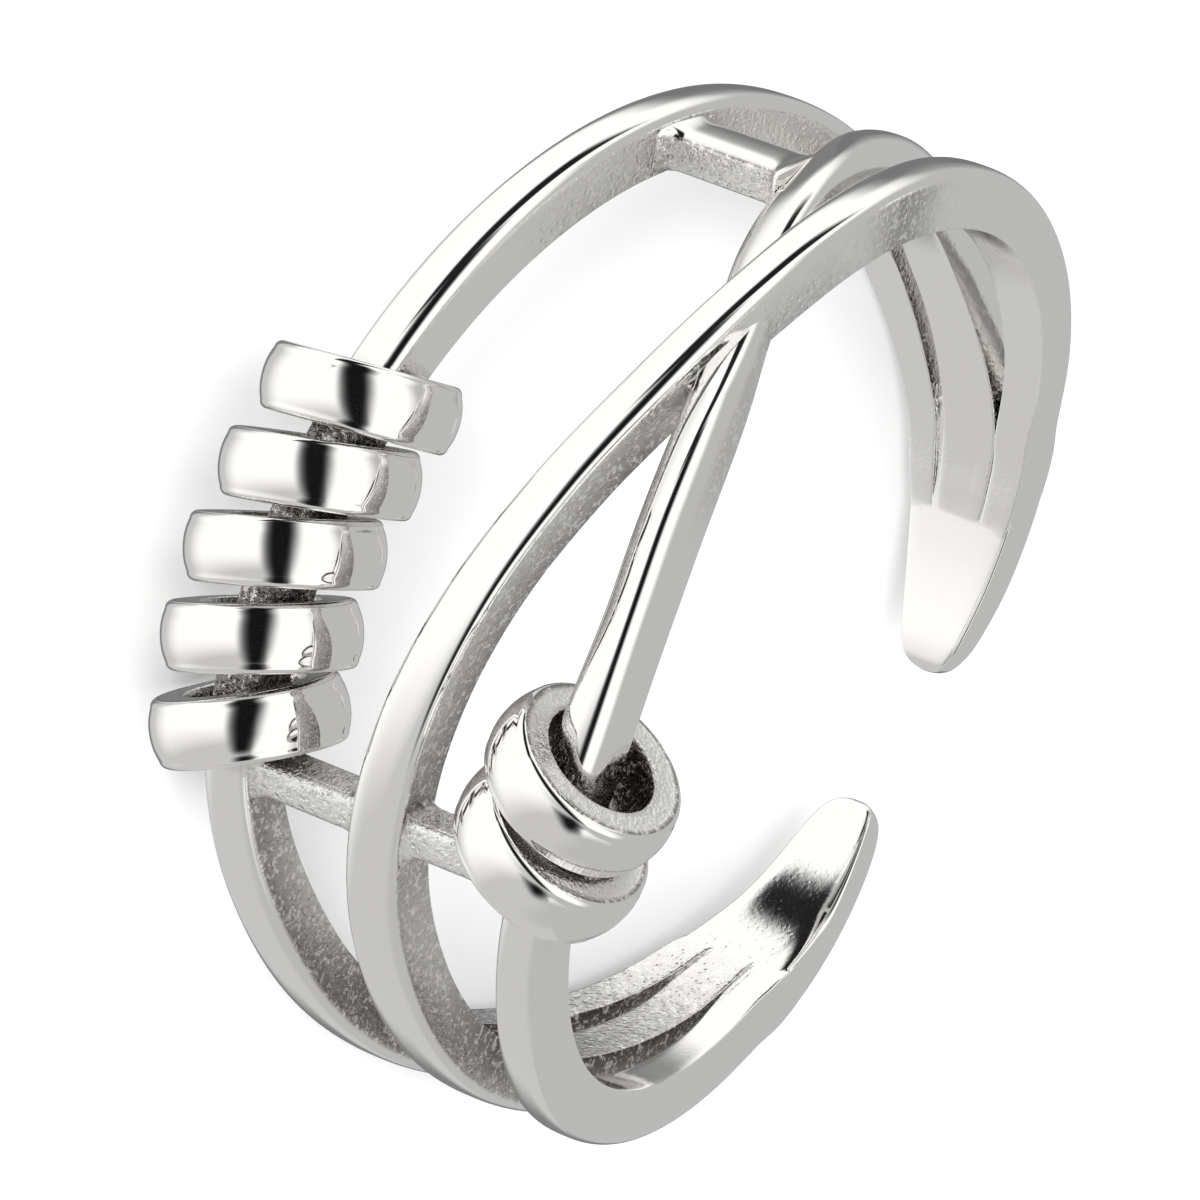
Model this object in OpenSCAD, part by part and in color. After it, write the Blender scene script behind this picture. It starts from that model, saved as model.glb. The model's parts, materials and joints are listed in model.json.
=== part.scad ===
// Open finger ring of three cast strands with seven loose beads to fidget with.
// The low strand carries five beads, the high strand two, and a middle strand
// crosses over the high one. The strands melt into one rounded tip at each end.
//
// The ring is drawn round its own axis first: angles run from the middle of the
// front, 0, to plus or minus 171 at the two tips, and heights run along the
// finger. Last of all it is laid on its side, as it rests on a table.

/* [Finger] */
// Inner diameter of the ring
finger_d = 17.6; // [17.2:0.1:18]
// How thick the band is between the finger and its outer face
wall = 1.2; // [1.1:0.05:1.25]

/* [Beads] */
// Outer diameter at the middle of the curved wall
bead_d = 3.78; // [3.6:0.03:3.84]
// Length along the strand
bead_len = 1.3; // [1.15:0.05:1.35]
// Diameter of the hole that the strand runs through
bead_hole = 2.3; // [2.2:0.05:2.4]
// How much the curved wall stands out between its rims
bead_bulge = 0.1; // [0.04:0.02:0.14]
// Radius of the soft corners at the rims
bead_corner = 0.15; // [0.08:0.02:0.18]

/* [Crossbars] */
// Angle of the bar that joins all three strands below the beads
low_bar_at = -39.8; // [-40.4:0.2:-39.4]
// Width of that bar along the band
low_bar_w = 0.55; // [0.45:0.05:0.65]
// Angle of the bar that joins the low strand to the high one
top_bar_at = 58.8; // [58:0.2:60]
// Width of that bar along the band
top_bar_w = 1.15; // [0.9:0.05:1.25]

/* [Detail] */
// Degrees between two sections of a strand
sweep_step = 4; // [3:0.5:6]
// Points over the rounded outer face of a strand
dome_points = 7; // [5:2:9]

/* [Hidden] */

metal = [0.86, 0.85, 0.84];
ri = finger_d / 2;
ro = ri + wall;
mid_r = ri + wall / 2;

// Columns of a strand's table: angle, height of its middle, width, how far its
// crown lies below the band's outer face, and how deep its rounded top is.
ANGLE = 0;
HEIGHT = 1;
WIDTH = 2;
SINK = 3;
DOME = 4;

low_strand = [
    [-146, -0.66, 0.70, 0.12, 0.20],
    [-137, -1.13, 0.78, 0.04, 0.20],
    [-128, -1.42, 0.82, 0.00, 0.20],
    [-117, -1.83, 0.84, 0.00, 0.20],
    [-100, -2.35, 0.92, 0.00, 0.20],
    [-80, -2.82, 1.00, 0.00, 0.20],
    [-64, -3.10, 1.04, 0.00, 0.20],
    [-50, -3.42, 1.02, 0.00, 0.20],
    [-38, -3.54, 1.00, 0.00, 0.20],
    [-20, -3.27, 1.00, 0.00, 0.20],
    [0, -2.92, 1.02, 0.00, 0.20],
    [20, -2.54, 1.02, 0.00, 0.20],
    [38, -2.22, 0.98, 0.00, 0.20],
    [56, -1.98, 0.96, 0.00, 0.20],
    [72, -1.82, 0.96, 0.00, 0.20],
    [90, -1.60, 0.95, 0.00, 0.20],
    [109, -1.36, 0.93, 0.00, 0.20],
    [119, -1.22, 0.86, 0.00, 0.20],
    [128, -1.00, 0.74, 0.00, 0.20],
    [137, -0.76, 0.66, 0.04, 0.20],
    [146, -0.54, 0.56, 0.12, 0.20]
];

middle_strand = [
    [-145, -0.12, 0.90, 0.12, 0.20],
    [-137, -0.14, 1.04, 0.04, 0.20],
    [-128, -0.14, 1.00, 0.00, 0.20],
    [-114, -0.28, 1.08, 0.00, 0.20],
    [-98, -0.34, 1.12, 0.00, 0.20],
    [-80, -0.32, 1.15, 0.00, 0.20],
    [-64, -0.28, 1.15, 0.00, 0.20],
    [-50, -0.22, 1.12, 0.00, 0.20],
    [-38, -0.02, 1.10, 0.00, 0.20],
    [-24, 0.44, 1.06, 0.00, 0.20],
    [-10, 1.09, 0.98, 0.00, 0.20],
    [4, 1.86, 0.92, 0.00, 0.20],
    [18, 2.58, 0.88, 0.00, 0.20],
    [33, 3.04, 0.86, 0.00, 0.20],
    [46, 3.15, 0.90, 0.00, 0.22],
    [60, 3.06, 0.96, 0.00, 0.26],
    [76, 2.84, 1.02, 0.00, 0.28],
    [92, 2.50, 1.05, 0.00, 0.26],
    [107, 2.16, 1.05, 0.00, 0.22],
    [117, 1.95, 0.96, 0.00, 0.20],
    [127, 1.70, 0.85, 0.00, 0.20],
    [137, 1.38, 0.78, 0.04, 0.20],
    [147, 1.02, 0.76, 0.12, 0.20]
];

high_strand = [
    [-147, 0.57, 0.70, 0.12, 0.20],
    [-137, 0.78, 0.76, 0.04, 0.20],
    [-127, 1.00, 0.70, 0.00, 0.20],
    [-114, 1.28, 0.78, 0.00, 0.20],
    [-100, 1.62, 0.88, 0.00, 0.20],
    [-85, 2.05, 0.92, 0.00, 0.20],
    [-70, 2.53, 0.92, 0.00, 0.20],
    [-57, 2.94, 0.92, 0.00, 0.22],
    [-46, 3.28, 0.94, 0.00, 0.30],
    [-36, 3.63, 0.98, 0.00, 0.45],
    [-26, 3.96, 1.02, 0.00, 0.62],
    [-16, 4.15, 1.04, 0.00, 0.65],
    [-6, 4.20, 1.06, 0.00, 0.65],
    [4, 4.09, 1.08, 0.00, 0.65],
    [14, 3.85, 1.10, 0.10, 0.60],
    [22, 3.53, 1.10, 0.28, 0.50],
    [32, 2.92, 1.14, 0.50, 0.40],
    [42, 2.31, 1.18, 0.42, 0.48],
    [54, 1.80, 1.18, 0.18, 0.56],
    [66, 1.38, 1.14, 0.05, 0.60],
    [80, 0.87, 1.10, 0.00, 0.60],
    [95, 0.36, 1.12, 0.00, 0.60],
    [109, 0.08, 1.14, 0.00, 0.58],
    [119, 0.14, 1.14, 0.00, 0.50],
    [128, 0.28, 1.26, 0.00, 0.38],
    [137, 0.42, 1.34, 0.04, 0.26],
    [145, 0.34, 1.22, 0.12, 0.22]
];

// Columns of a tip's table: angle, lower and upper edge, and how far its inner
// and outer faces close in on each other.
LOWER = 1;
UPPER = 2;
RISE = 3;
FALL = 4;

first_tip = [
    [-133.5, -0.34, 0.06, 0.50, 0.50],
    [-136.5, -1.59, 1.23, -0.03, -0.02],
    [-141, -1.40, 1.18, -0.03, 0.00],
    [-147, -1.13, 1.11, -0.03, 0.04],
    [-153, -0.89, 1.01, -0.02, 0.10],
    [-159, -0.69, 0.87, 0.00, 0.18],
    [-164, -0.54, 0.72, 0.01, 0.28],
    [-167, -0.40, 0.58, 0.04, 0.36],
    [-169, -0.24, 0.42, 0.10, 0.44],
    [-170.2, -0.08, 0.26, 0.18, 0.52],
    [-170.8, 0.04, 0.14, 0.28, 0.60]
];

last_tip = [
    [133.5, 0.20, 0.60, 0.50, 0.50],
    [136.5, -1.15, 1.83, -0.03, -0.02],
    [141, -1.05, 1.71, -0.03, 0.00],
    [147, -0.95, 1.55, -0.03, 0.04],
    [153, -0.81, 1.39, -0.02, 0.10],
    [159, -0.63, 1.20, 0.00, 0.18],
    [164, -0.44, 0.99, 0.01, 0.28],
    [167, -0.29, 0.81, 0.04, 0.36],
    [169, -0.11, 0.62, 0.10, 0.44],
    [170.3, 0.06, 0.45, 0.18, 0.52],
    [170.9, 0.20, 0.30, 0.28, 0.60]
];

// The two circles that the beads ride round: the centre, the way the axis leans,
// how far it leans, and the radius.
low_track = [[0, 0, -2.73], -10, 6.56, mid_r];
high_track = [[0.264, -1.834, 0.233], 98.1, 27.75, mid_r - 0.88];

// Columns of a bead's table: turn round its track, shift away from the track's
// centre and along its axis, then how far it leans each way on the strand.
low_beads = [
    [315.0, -0.07, 0.05, 27.7, -6.9],
    [304.2, 0.01, -0.02, 22.8, -4.5],
    [294.0, 0.06, -0.09, 20.5, 2.6],
    [284.5, 0.04, -0.09, 16.1, 8.8],
    [274.9, 0.04, -0.11, 11.1, 13.5]
];
high_beads = [
    [209.95, -0.02, -0.08, -22.4, 5.9],
    [200.0, -0.07, 0.09, -20.7, 14.3]
];

// How the ring leans when it lies on its side: the lowest bead props up its
// front. Then how far it shifts, so that the middle of its foot is the origin.
lean_front = -13.93;
lean_side = -2.47;
lift = 3.126;
shift_y = 1.255;

// Smooth value of one column of a table at any angle between its rows.
function row_at(t, a, i = 0) =
    i >= len(t) - 2 || (t[0][0] < t[1][0] ? a <= t[i + 1][0] : a >= t[i + 1][0])
        ? i : row_at(t, a, i + 1);
function slope(t, i, c) =
    let (p = t[max(0, i - 1)], q = t[min(len(t) - 1, i + 1)])
    (q[c] - p[c]) / (q[0] - p[0]);
function value(t, a, c) =
    let (
        i = row_at(t, a),
        p = t[i],
        q = t[i + 1],
        d = q[0] - p[0],
        s = (a - p[0]) / d,
        m0 = slope(t, i, c) * d,
        m1 = slope(t, i + 1, c) * d
    )
    (2 * s * s * s - 3 * s * s + 1) * p[c] + (s * s * s - 2 * s * s + s) * m0
    + (3 * s * s - 2 * s * s * s) * q[c] + (s * s * s - s * s) * m1;

// A point of the ring from its angle, its distance from the axis and its height.
function on_ring(a, r, z) = [-r * sin(a), -r * cos(a), z];

// Signed power, which turns a half circle into a rounder or squarer dome.
function spow(x, p) = sign(x) * pow(abs(x), p);

// One section: a dome outside, straight sides, and an inner face with soft edges.
function section(a, lo, hi, r_in, r_out, dome) =
    let (
        soft = 0.05,
        zc = (lo + hi) / 2,
        hw = (hi - lo) / 2,
        power = 0.62 + 0.38 * min(1, max(0, (dome - 0.2) / 0.45)),
        n = dome_points - 1
    )
    concat(
        [for (k = [0 : n])
            let (t = 180 * k / n)
            on_ring(a, r_out - dome + dome * spow(sin(t), power),
                    zc + hw * spow(cos(t), power))],
        [on_ring(a, r_in + soft, lo), on_ring(a, r_in, lo + min(soft, hw / 3)),
         on_ring(a, r_in, hi - min(soft, hw / 3)), on_ring(a, r_in + soft, hi)]
    );

// A closed skin over a row of sections.
module skin(rings) {
    n = len(rings[0]);
    last = len(rings) - 1;
    points = [for (r = rings) for (p = r) p];
    sides = [for (i = [0 : last - 1]) for (j = [0 : n - 1])
        [i * n + j, i * n + (j + 1) % n, (i + 1) * n + (j + 1) % n, (i + 1) * n + j]];
    polyhedron(
        points = points,
        faces = concat(
            [[for (j = [n - 1 : -1 : 0]) j]],
            sides,
            [[for (j = [0 : n - 1]) last * n + j]]
        ),
        convexity = 10
    );
}

module strand(t) {
    from = t[0][ANGLE];
    to = t[len(t) - 1][ANGLE];
    steps = ceil((to - from) / sweep_step);
    skin([for (i = [0 : steps])
        let (a = from + (to - from) * i / steps, z = value(t, a, HEIGHT),
             w = value(t, a, WIDTH))
        section(a, z - w / 2, z + w / 2, ri, ro - value(t, a, SINK),
                value(t, a, DOME))]);
}

// A tip's own rows are close together near its end, so each is a section.
module tip(t) {
    rows = t[0][0] < 0 ? [for (i = [len(t) - 1 : -1 : 0]) t[i]] : t;
    skin([for (p = rows)
        section(p[ANGLE], p[LOWER], p[UPPER], ri + p[RISE], ro - p[FALL],
                min(0.18, (wall - p[RISE] - p[FALL]) * 0.5))]);
}

// One end of a crossbar piece: a small rounded block at an angle and height.
module bar_block(a, z, w, r0, r1) {
    rotate([0, 0, -a])
        translate([-w / 2, -r1, z - 0.02])
            linear_extrude(0.04)
                polygon([[0.12, 0], [w - 0.12, 0], [w, 0.12], [w, r1 - r0 - 0.1],
                         [w - 0.1, r1 - r0], [0.1, r1 - r0], [0, r1 - r0 - 0.1],
                         [0, 0.12]]);
}

module bar_length(a, z0, z1, w0, w1, r0, r1) {
    spread = (w1 - w0) / 3;
    hull() {
        bar_block(a, z0, w0, r0, r1);
        bar_block(a, z1, w1, r0 - min(spread, r0 - ri - 0.07), r1 + min(spread, ro - r1 - 0.23));
    }
}

// A straight bar between two faces, with a flare where it meets each of them.
module bar(a, z0, z1, w, r0, r1) {
    flare = 0.3;
    grow = 0.5;
    bar_length(a, z0 + flare, z1 - flare, w, w, r0, r1);
    bar_length(a, z0 + flare, z0 - 0.12, w, w + grow, r0, r1);
    bar_length(a, z1 - flare, z1 + 0.12, w, w + grow, r0, r1);
}

module band() {
    low = value(low_strand, low_bar_at, HEIGHT);
    mid = value(middle_strand, low_bar_at, HEIGHT);
    high = value(high_strand, low_bar_at, HEIGHT);
    top_low = value(low_strand, top_bar_at, HEIGHT);
    top_high = value(high_strand, top_bar_at, HEIGHT);
    color(metal)
        union() {
            strand(low_strand);
            strand(middle_strand);
            strand(high_strand);
            tip(first_tip);
            tip(last_tip);
            bar(low_bar_at, low + 0.5, mid - 0.55, low_bar_w, ri + 0.12, ro - 0.3);
            bar(low_bar_at, mid + 0.55, high - 0.47, low_bar_w, ri + 0.12, ro - 0.3);
            bar(top_bar_at, top_low + 0.48, top_high - 0.55, top_bar_w, ri + 0.09, ro - 0.3);
        }
}

// A short drilled barrel: a curved wall, soft corners and flat end faces.
module bead() {
    h = bead_len / 2;
    r = bead_d / 2;
    c = bead_corner;
    rim = r - bead_bulge;
    bore = bead_hole / 2;
    color(metal)
        rotate_extrude($fn = 72)
            polygon([
                [bore, -h + 0.06], [bore + 0.06, -h], [rim - c, -h],
                [rim - c * 0.5, -h + c * 0.13], [rim - c * 0.13, -h + c * 0.5],
                [rim, -h + c], [rim + bead_bulge * 0.75, -h * 0.42], [r, 0],
                [rim + bead_bulge * 0.75, h * 0.42], [rim, h - c],
                [rim - c * 0.13, h - c * 0.5], [rim - c * 0.5, h - c * 0.13],
                [rim - c, h], [bore + 0.06, h], [bore, h - 0.06]
            ]);
}

// Puts a bead on its track, at the turn, shift and lean that its row gives.
module on_track(track, p) {
    translate(track[0])
        rotate([0, track[2], track[1]])
            rotate([0, 0, p[0]])
                translate([track[3] + p[1], 0, p[2]])
                    rotate([p[3], 0, p[4]])
                        rotate([90, 0, 0])
                            children();
}

// Lays the ring on its side on the table.
module at_rest() {
    translate([0, shift_y, lift])
        rotate([lean_front, lean_side, 0])
            children();
}

module low_bead(i) {
    on_track(low_track, low_beads[i]) bead();
}

module high_bead(i) {
    on_track(high_track, high_beads[i]) bead();
}

at_rest() band();
at_rest() low_bead(0);  // low_bead_1
at_rest() low_bead(1);  // low_bead_2
at_rest() low_bead(2);  // low_bead_3
at_rest() low_bead(3);  // low_bead_4
at_rest() low_bead(4);  // low_bead_5
at_rest() high_bead(0);  // high_bead_1
at_rest() high_bead(1);  // high_bead_2
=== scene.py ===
# %% [markdown]
# # An open fidget ring of polished cast metal
# Three slim strands run side by side round the finger and melt into one rounded tip
# at each end. Seven loose barrel beads slide and spin on two of the strands.
# The ring is worked out round its own axis, in millimetres, where angle 0 is the
# middle of the front and the tips lie at plus and minus 171 degrees. Only then is it
# laid on its side on the table, in metres, which is where every piece has its place.

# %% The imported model
import json
import math
import bpy
import numpy as np
from mathutils import Euler, Matrix, Vector


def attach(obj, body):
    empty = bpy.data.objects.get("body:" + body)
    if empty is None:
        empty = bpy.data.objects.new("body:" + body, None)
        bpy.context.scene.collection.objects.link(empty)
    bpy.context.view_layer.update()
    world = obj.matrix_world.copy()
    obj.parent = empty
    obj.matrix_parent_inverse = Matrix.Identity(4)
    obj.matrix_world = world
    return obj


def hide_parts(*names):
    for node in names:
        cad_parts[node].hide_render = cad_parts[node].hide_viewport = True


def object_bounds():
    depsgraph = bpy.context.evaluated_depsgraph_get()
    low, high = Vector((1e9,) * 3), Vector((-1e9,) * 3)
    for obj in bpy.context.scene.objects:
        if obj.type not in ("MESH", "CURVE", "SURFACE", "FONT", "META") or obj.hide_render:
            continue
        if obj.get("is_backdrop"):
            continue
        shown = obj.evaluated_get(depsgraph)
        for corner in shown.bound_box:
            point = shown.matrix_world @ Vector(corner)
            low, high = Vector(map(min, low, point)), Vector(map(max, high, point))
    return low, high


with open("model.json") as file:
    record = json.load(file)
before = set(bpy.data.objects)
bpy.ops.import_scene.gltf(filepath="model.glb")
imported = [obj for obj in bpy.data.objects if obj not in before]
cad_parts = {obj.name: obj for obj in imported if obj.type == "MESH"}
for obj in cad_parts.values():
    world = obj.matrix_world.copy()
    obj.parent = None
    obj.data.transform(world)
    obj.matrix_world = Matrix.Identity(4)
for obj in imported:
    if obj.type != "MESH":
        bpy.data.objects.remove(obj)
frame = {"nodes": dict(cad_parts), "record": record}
cad_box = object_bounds()
print("nodes", sorted(frame["nodes"]))
print("solid model, mm", [round(1000 * v, 2) for v in (cad_box[1] - cad_box[0])])

# %% [markdown]
# ## The tables of the ring
# A caster's wax model is a set of slim bars bent round a mandrel. Each strand is a
# table of a few rows: the angle, the height of its middle, its width, how far its
# crown lies below the band's outer face, and how deep its rounded top is. A tip's row
# has the angle, the heights of its two edges, and how far its inner and outer faces
# step in. A smooth curve through the rows gives every section between them, as a spline
# would, but the tables stay easy to read and to change.

# %% Sizes and tables
INNER = 8.8
OUTER = 10.0
ANGLE, HEIGHT, WIDTH, SINK, DOME = range(5)
LOWER, UPPER, RISE, FALL = range(1, 5)

LOW = [
    (-154, -0.62, 0.46, 0.22, 0.20), (-147, -0.80, 0.62, 0.05, 0.20),
    (-141, -1.02, 0.74, 0.00, 0.20), (-137, -1.14, 0.78, 0.00, 0.20),
    (-128, -1.42, 0.82, 0.00, 0.20), (-117, -1.83, 0.84, 0.00, 0.20),
    (-100, -2.35, 0.92, 0.00, 0.20), (-80, -2.82, 1.00, 0.00, 0.20),
    (-64, -3.10, 1.04, 0.00, 0.20), (-50, -3.41, 0.98, 0.00, 0.20),
    (-38, -3.52, 0.94, 0.00, 0.20), (-20, -3.25, 0.94, 0.00, 0.20),
    (0, -2.91, 0.98, 0.00, 0.20), (20, -2.54, 1.00, 0.00, 0.20),
    (38, -2.22, 0.98, 0.00, 0.20), (56, -1.98, 0.96, 0.00, 0.20),
    (72, -1.82, 0.96, 0.00, 0.20), (90, -1.60, 0.95, 0.00, 0.20),
    (109, -1.36, 0.93, 0.00, 0.20), (119, -1.22, 0.86, 0.00, 0.20),
    (128, -1.00, 0.74, 0.00, 0.20), (137, -0.76, 0.66, 0.00, 0.20),
    (141, -0.72, 0.63, 0.00, 0.20), (147, -0.65, 0.57, 0.05, 0.20),
    (154, -0.54, 0.44, 0.22, 0.20),
]
MIDDLE = [
    (-155, 0.02, 0.56, 0.22, 0.20), (-147, -0.04, 0.80, 0.05, 0.20),
    (-137, -0.14, 1.02, 0.00, 0.20),
    (-128, -0.14, 1.00, 0.00, 0.20), (-114, -0.28, 1.08, 0.00, 0.20),
    (-98, -0.34, 1.12, 0.00, 0.20), (-80, -0.32, 1.15, 0.00, 0.20),
    (-64, -0.28, 1.15, 0.00, 0.20), (-50, -0.22, 1.12, 0.00, 0.20),
    (-38, -0.02, 1.10, 0.00, 0.20), (-24, 0.44, 1.06, 0.00, 0.20),
    (-10, 1.09, 0.98, 0.00, 0.20), (4, 1.86, 0.92, 0.00, 0.20),
    (18, 2.58, 0.88, 0.00, 0.20), (33, 3.04, 0.86, 0.00, 0.20),
    (46, 3.15, 0.90, 0.00, 0.22), (60, 3.06, 0.96, 0.00, 0.26),
    (76, 2.84, 1.02, 0.00, 0.28), (92, 2.50, 1.05, 0.00, 0.26),
    (107, 2.16, 1.05, 0.00, 0.22), (117, 1.95, 0.96, 0.00, 0.20),
    (127, 1.70, 0.85, 0.00, 0.20), (137, 1.38, 0.78, 0.00, 0.20),
    (141, 1.34, 0.73, 0.00, 0.20), (147, 1.20, 0.68, 0.05, 0.20),
    (155, 0.96, 0.56, 0.22, 0.20),
]
HIGH = [
    (-154, 0.62, 0.56, 0.22, 0.20), (-147, 0.74, 0.70, 0.05, 0.20),
    (-141, 0.79, 0.76, 0.00, 0.20), (-137, 0.78, 0.76, 0.00, 0.20),
    (-127, 1.00, 0.70, 0.00, 0.20), (-114, 1.28, 0.78, 0.00, 0.20),
    (-100, 1.62, 0.88, 0.00, 0.20), (-85, 2.05, 0.92, 0.00, 0.20),
    (-70, 2.53, 0.92, 0.00, 0.20), (-57, 2.94, 0.92, 0.00, 0.22),
    (-46, 3.28, 0.94, 0.00, 0.30), (-36, 3.63, 0.98, 0.00, 0.45),
    (-26, 3.96, 1.02, 0.00, 0.62), (-16, 4.15, 1.04, 0.00, 0.65),
    (-6, 4.20, 1.06, 0.00, 0.65), (4, 4.09, 1.08, 0.00, 0.65),
    (14, 3.85, 1.10, 0.10, 0.60), (22, 3.53, 1.10, 0.28, 0.50),
    (32, 2.92, 1.14, 0.50, 0.40), (42, 2.31, 1.18, 0.42, 0.48),
    (54, 1.80, 1.18, 0.18, 0.56), (66, 1.38, 1.14, 0.05, 0.60),
    (80, 0.87, 1.10, 0.00, 0.60), (95, 0.36, 1.12, 0.00, 0.60),
    (109, 0.08, 1.14, 0.00, 0.58), (119, 0.14, 1.14, 0.00, 0.50),
    (128, 0.28, 1.22, 0.00, 0.38), (137, 0.38, 1.22, 0.00, 0.26),
    (147, 0.30, 1.10, 0.05, 0.22), (154, 0.22, 0.90, 0.22, 0.20),
]
FIRST_TIP = [
    (-135.4, -1.30, 0.90, 0.16, 0.14), (-138, -1.44, 1.10, 0.09, 0.03),
    (-141, -1.37, 1.14, 0.06, 0.00), (-144, -1.24, 1.12, 0.02, 0.01),
    (-147, -1.11, 1.09, 0.00, 0.02), (-153, -0.89, 1.01, 0.00, 0.10),
    (-159, -0.75, 0.90, 0.00, 0.18), (-164, -0.64, 0.79, 0.01, 0.28),
    (-167, -0.55, 0.70, 0.04, 0.36),
    (-169, -0.45, 0.60, 0.10, 0.44), (-170, -0.33, 0.49, 0.16, 0.50),
    (-170.6, -0.19, 0.35, 0.24, 0.57), (-170.9, -0.05, 0.22, 0.32, 0.63),
    (-171, 0.05, 0.12, 0.42, 0.70),
]
LAST_TIP = [
    (135.4, -0.90, 1.45, 0.16, 0.14), (138, -1.04, 1.68, 0.11, 0.03),
    (141, -1.02, 1.68, 0.10, 0.00), (147, -0.93, 1.53, 0.08, 0.02),
    (153, -0.81, 1.39, 0.02, 0.10), (159, -0.66, 1.23, 0.00, 0.18),
    (164, -0.51, 1.06, 0.01, 0.28), (167, -0.41, 0.94, 0.04, 0.36),
    (169, -0.29, 0.80, 0.10, 0.44), (170, -0.17, 0.69, 0.16, 0.50),
    (170.6, -0.03, 0.55, 0.24, 0.57), (170.9, 0.12, 0.40, 0.32, 0.63),
    (171, 0.22, 0.30, 0.42, 0.70),
]


def value(table, angle, column):
    """Smooth value of a column at any angle between the rows of a table."""
    rows = np.array(sorted(table))
    a, v = rows[:, ANGLE], rows[:, column]
    i = int(np.clip(np.searchsorted(a, angle) - 1, 0, len(a) - 2))
    before, after = max(0, i - 1), min(len(a) - 1, i + 2)
    m0 = (v[i + 1] - v[before]) / (a[i + 1] - a[before])
    m1 = (v[after] - v[i]) / (a[after] - a[i])
    d = a[i + 1] - a[i]
    s = (angle - a[i]) / d
    return (
        (2 * s**3 - 3 * s**2 + 1) * v[i]
        + (s**3 - 2 * s**2 + s) * m0 * d
        + (3 * s**2 - 2 * s**3) * v[i + 1]
        + (s**3 - s**2) * m1 * d
    )


print("width of the low strand at the front, mm", round(value(LOW, 0, WIDTH), 3))

# %% [markdown]
# ## How the ring lies
# On the table the ring rests on its lowest bead and on two places of its back, so it
# leans a little. One rotation and one shift take every point from the ring's own axes
# to the table. Working in the ring's axes first keeps the tables simple.

# %% From the ring's axes to the table
LEAN_FRONT = math.radians(-13.93)
LEAN_SIDE = math.radians(-2.47)
TURN = np.array(Matrix.Rotation(LEAN_SIDE, 3, "Y") @ Matrix.Rotation(LEAN_FRONT, 3, "X"))
SHIFT = np.array([0.0, 1.255, 3.126])


def laid(points):
    """Points of the ring, in mm, as they lie on the table, in metres."""
    return (np.asarray(points, float) @ TURN.T + SHIFT) / 1000


def turned(directions):
    """Directions of the ring as they point on the table."""
    return np.asarray(directions, float) @ TURN.T


def unlaid(points):
    """Table points, in metres, back in the ring's axes, in mm."""
    return (np.asarray(points, float) * 1000 - SHIFT) @ TURN


def on_ring(angle, radius, height):
    """A point from its angle in degrees, its distance from the axis and its height."""
    t = math.radians(angle)
    return np.array([-radius * math.sin(t), -radius * math.cos(t), height])


print("middle of the front lies at", laid(on_ring(0, OUTER, 0)).round(5))

# %% [markdown]
# ## The camera
# Product photographers step far back with a long lens, so that a ring keeps parallel
# sides. The camera stands 0.2 m away at the photo's angle to the ring: 30 degrees above
# the plane that the ring lies in, which is 44 degrees above the table. It is rolled over
# as well, because the photo shows the ring upright. Three angles, a distance and the
# point that it aims at say where it is. It comes first, so that each piece can be seen
# from the right side as soon as it is made.

# %% Camera at the photo's viewing angle
CAMERA_TURN, CAMERA_RISE, CAMERA_ROLL = -4.40, 29.91, 111.31
CAMERA_AWAY = 206.29
AIM = np.array([0.361, -0.834, -1.494])
LENS, SENSOR = 325.0, 36.0

rise, roll = math.radians(CAMERA_RISE), math.radians(CAMERA_ROLL)
TOWARD = on_ring(CAMERA_TURN, math.cos(rise), math.sin(rise))
level = on_ring(CAMERA_TURN - 90, 1, 0)
steep = np.cross(TOWARD, level)
RIGHT = math.cos(roll) * level + math.sin(roll) * steep
UP = math.cos(roll) * steep - math.sin(roll) * level

eye_data = bpy.data.cameras.new("photo_camera")
eye_data.lens = LENS
eye_data.sensor_width = SENSOR
eye_data.clip_start = 0.01
eye_data.clip_end = 20
camera = bpy.data.objects.new("photo_camera", eye_data)
bpy.context.scene.collection.objects.link(camera)
axes = np.stack([turned(RIGHT), turned(UP), turned(TOWARD)], axis=1)
eye = laid(AIM + CAMERA_AWAY * TOWARD)
camera.matrix_world = Matrix.Translation(eye) @ Matrix(axes.tolist()).to_4x4()
bpy.context.scene.camera = camera
print("camera height, m", round(camera.location.z, 4))

# %% [markdown]
# ## Short ways to wire nodes
# Geometry, materials and the world are all node trees. A small helper adds a node and
# feeds its inputs with numbers or with other nodes' outputs. For arithmetic it gives
# back the result, so that a formula in nodes can be read as one.

# %% A helper for node trees


class Wires:
    def __init__(self, tree):
        self.tree = tree

    def add(self, kind, inputs=None, **settings):
        """A node with its settings, and its inputs fed by name or by number."""
        node = self.tree.nodes.new(kind)
        for name, setting in settings.items():
            setattr(node, name, setting)
        for key, source in (inputs or {}).items():
            self.feed(node.inputs[key], source)
        return node

    def feed(self, socket, source):
        if isinstance(source, bpy.types.NodeSocket):
            self.tree.links.new(source, socket)
        else:
            socket.default_value = source

    def math(self, operation, a, b=0.0, c=0.0):
        kind = "ShaderNodeMath"
        return self.add(kind, {0: a, 1: b, 2: c}, operation=operation).outputs[0]

    def vector(self, operation, a, b=None, scale=None):
        node = self.add("ShaderNodeVectorMath", {0: a}, operation=operation)
        if b is not None:
            self.feed(node.inputs[1], b)
        if scale is not None:
            self.feed(node.inputs["Scale"], scale)
        return node.outputs["Value" if operation in ("DOT_PRODUCT", "LENGTH") else "Vector"]

    def ramp(self, source, low, high, to_low=0.0, to_high=1.0):
        """A smooth step of source from low to high."""
        node = self.add(
            "ShaderNodeMapRange",
            {"Value": source, "From Min": low, "From Max": high,
             "To Min": to_low, "To Max": to_high},
            interpolation_type="SMOOTHSTEP",
        )
        return node.outputs["Result"]


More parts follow.
